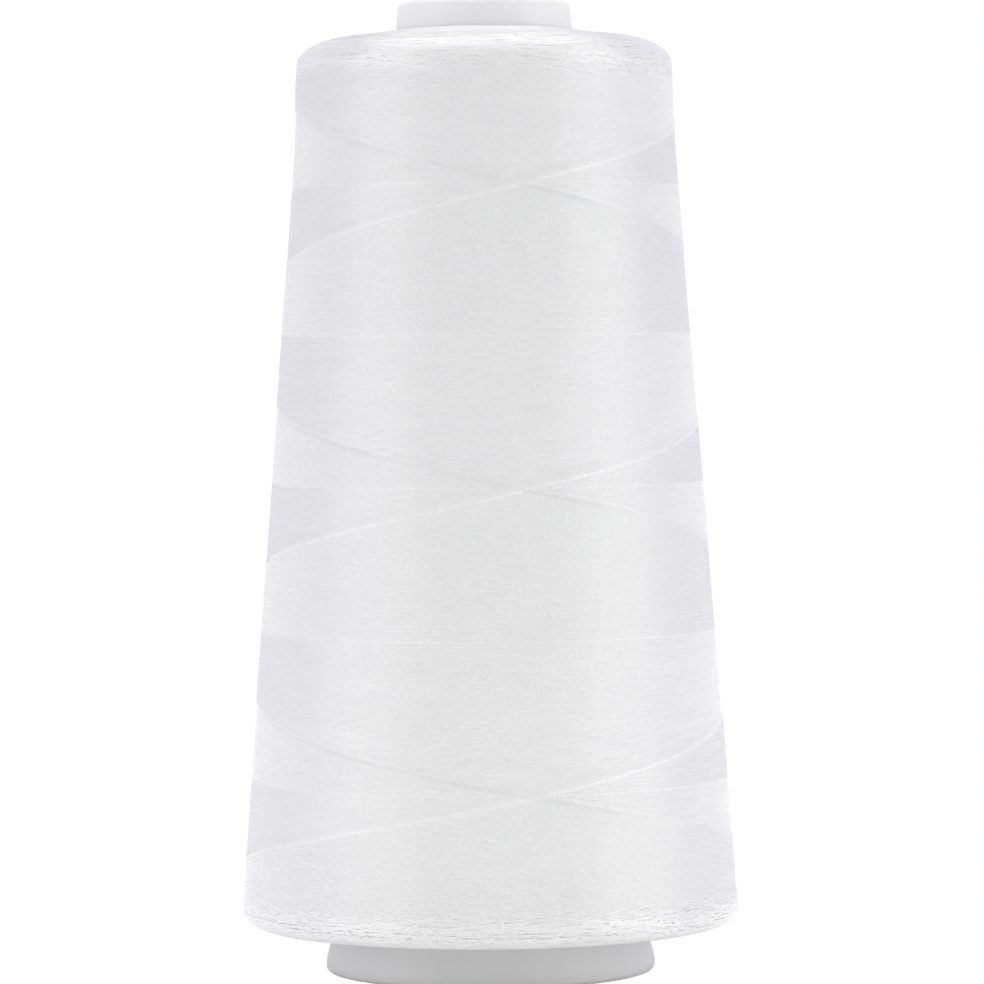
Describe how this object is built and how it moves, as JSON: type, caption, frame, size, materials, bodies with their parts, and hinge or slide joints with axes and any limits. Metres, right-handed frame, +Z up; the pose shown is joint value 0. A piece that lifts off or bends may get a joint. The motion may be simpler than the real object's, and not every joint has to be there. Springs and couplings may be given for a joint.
{
  "type": "cone of thread",
  "caption": "Tapered cross-wound package of white sewing thread on a hollow plastic cone, which stands on its foot or drops over a thread-stand spindle.",
  "frame": {"origin": "centre of the core's foot, on the surface it stands on", "axes": "+Z up along the cone's axis towards its narrow tip, -Y towards the viewer of the front, where the main turns cross"},
  "size_m": [0.0872, 0.0872, 0.17],
  "materials": {
    "core_plastic": "satin injection-moulded natural white plastic, slightly translucent",
    "thread": "bright white spun polyester sewing thread in crossed turns, soft sheen"
  },
  "bodies": {
    "root": {"core": "core_plastic", "thread_winding": "thread"}
  },
  "joints": []
}
